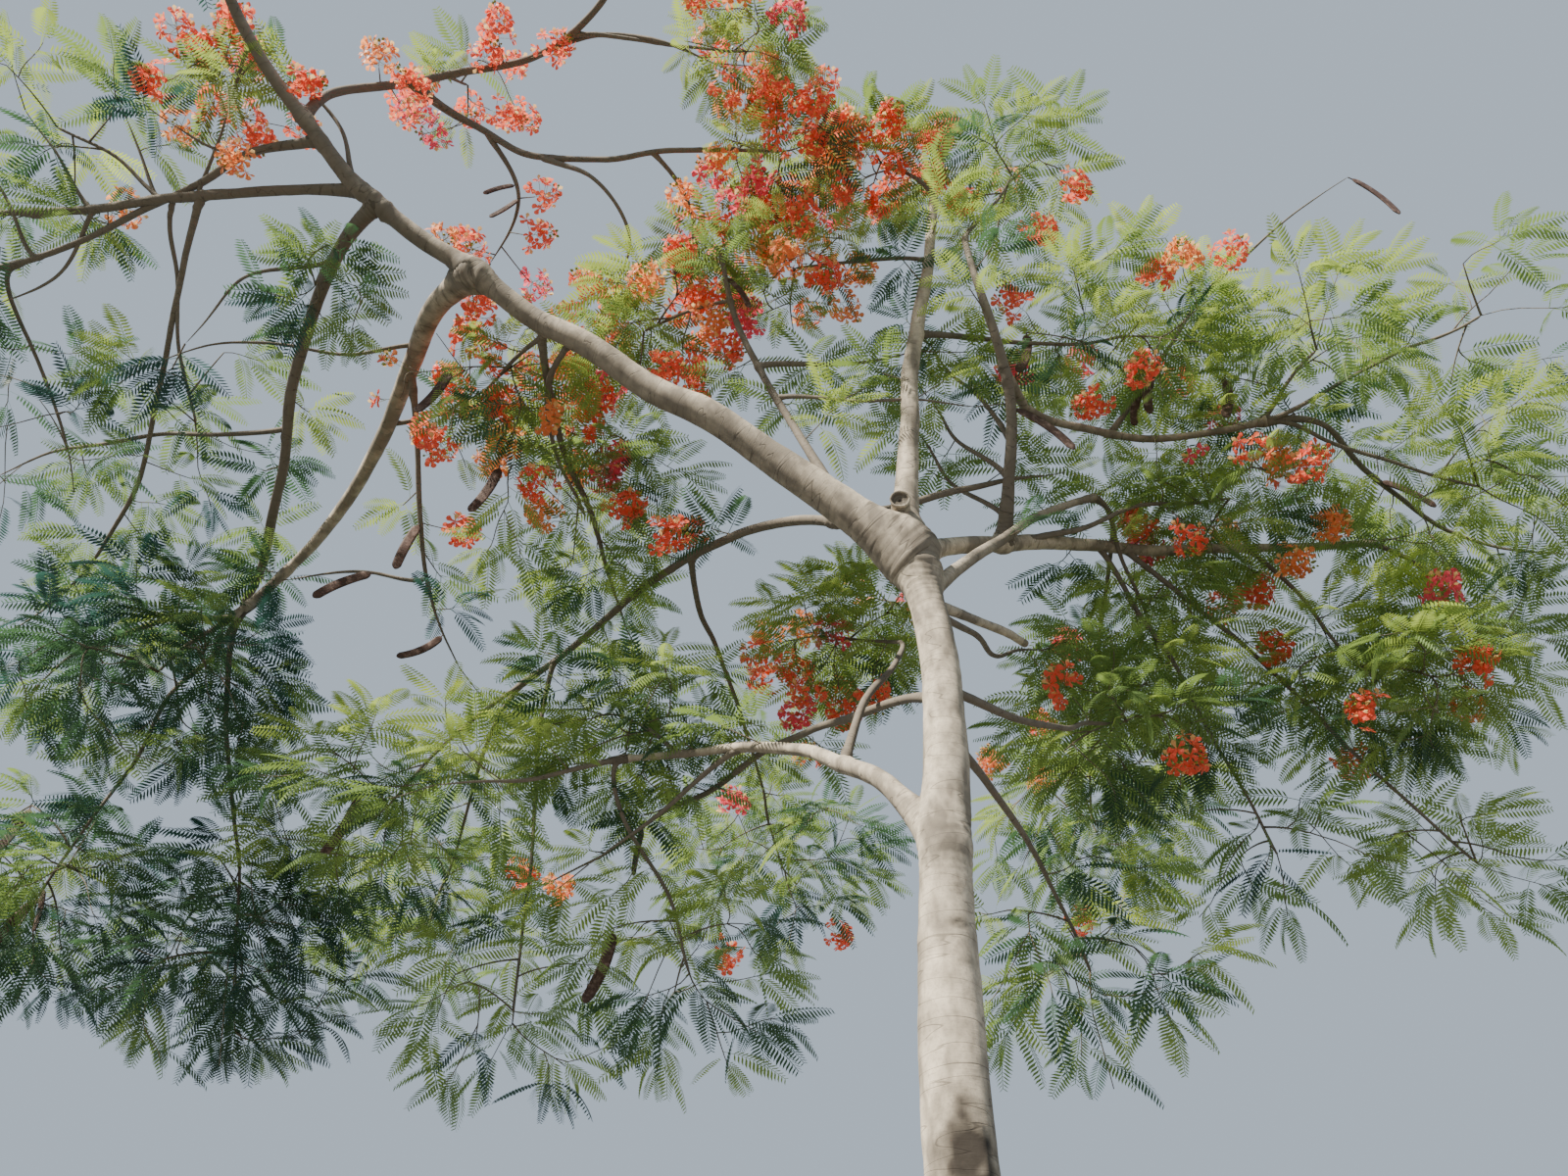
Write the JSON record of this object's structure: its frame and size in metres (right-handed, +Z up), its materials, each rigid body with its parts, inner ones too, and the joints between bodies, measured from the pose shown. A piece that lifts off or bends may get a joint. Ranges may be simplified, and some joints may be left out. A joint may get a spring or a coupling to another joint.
{
  "type": "flame tree",
  "caption": "Rooted flame tree with a bowed grey trunk, spreading boughs, and open masses of feathery leaf, red-orange blossom and hanging pods.",
  "frame": {"origin": "centre of the flat cut under the trunk, at ground level", "axes": "+Z up; +X to the right and +Y away, as seen from the side the picture was taken from; -Z out of the cut face"},
  "size_m": [11.3309, 9.8698, 10.6659],
  "materials": {
    "bark": "matt grey-beige bark with faint rings",
    "foliage": "fine feathery leaves, satin green",
    "blossom": "soft red-orange petals"
  },
  "bodies": {
    "root": {"trunk": "bark", "left_main": "bark", "leader": "bark", "right_main": "bark", "right_riser": "bark", "right_arch": "bark", "right_low": "bark", "left_arching": "bark", "left_back": "bark", "left_far": "bark", "left_upper": "bark", "top_right": "bark", "top_inner": "bark", "centre_riser": "bark", "low_left": "bark", "back_long": "bark", "near_right": "bark", "stub": "bark", "leaves_far_left_top": "foliage", "blossom_left_top": "blossom", "blossom_top_inner": "blossom", "blossom_top_right": "blossom", "blossom_top_centre": "blossom", "blossom_centre": "blossom", "blossom_leader_left": "blossom", "blossom_crown_top": "blossom", "leaves_crown_top": "foliage", "blossom_main": "blossom", "blossom_left": "blossom", "leaves_left_inner": "foliage", "leaves_rosette": "foliage", "leaves_left_hanging": "foliage", "leaves_left_outer": "foliage", "leaves_left_shoulder": "foliage", "leaves_left_low_outer": "foliage", "leaves_left_low": "foliage", "leaves_left_middle": "foliage", "leaves_front_spray": "foliage", "leaves_low_hanging": "foliage", "leaves_low_centre": "foliage", "blossom_behind_fork": "blossom", "blossom_right_top": "blossom", "leaves_right_upper": "foliage", "leaves_right_outer_top": "foliage", "leaves_right_outer": "foliage", "blossom_right_inner": "blossom", "leaves_right_middle": "foliage", "leaves_right_back": "foliage", "blossom_right": "blossom", "leaves_right_far": "foliage", "leaves_right_low_outer": "foliage", "leaves_right_low_middle": "foliage", "leaves_right_hanging": "foliage", "leaves_near_centre": "foliage", "leaves_near_right": "foliage", "leaves_near_far_right": "foliage", "leaves_near_left": "foliage", "leaves_far_left": "foliage", "leaves_far_centre": "foliage", "leaves_far_right": "foliage"}
  },
  "joints": []
}
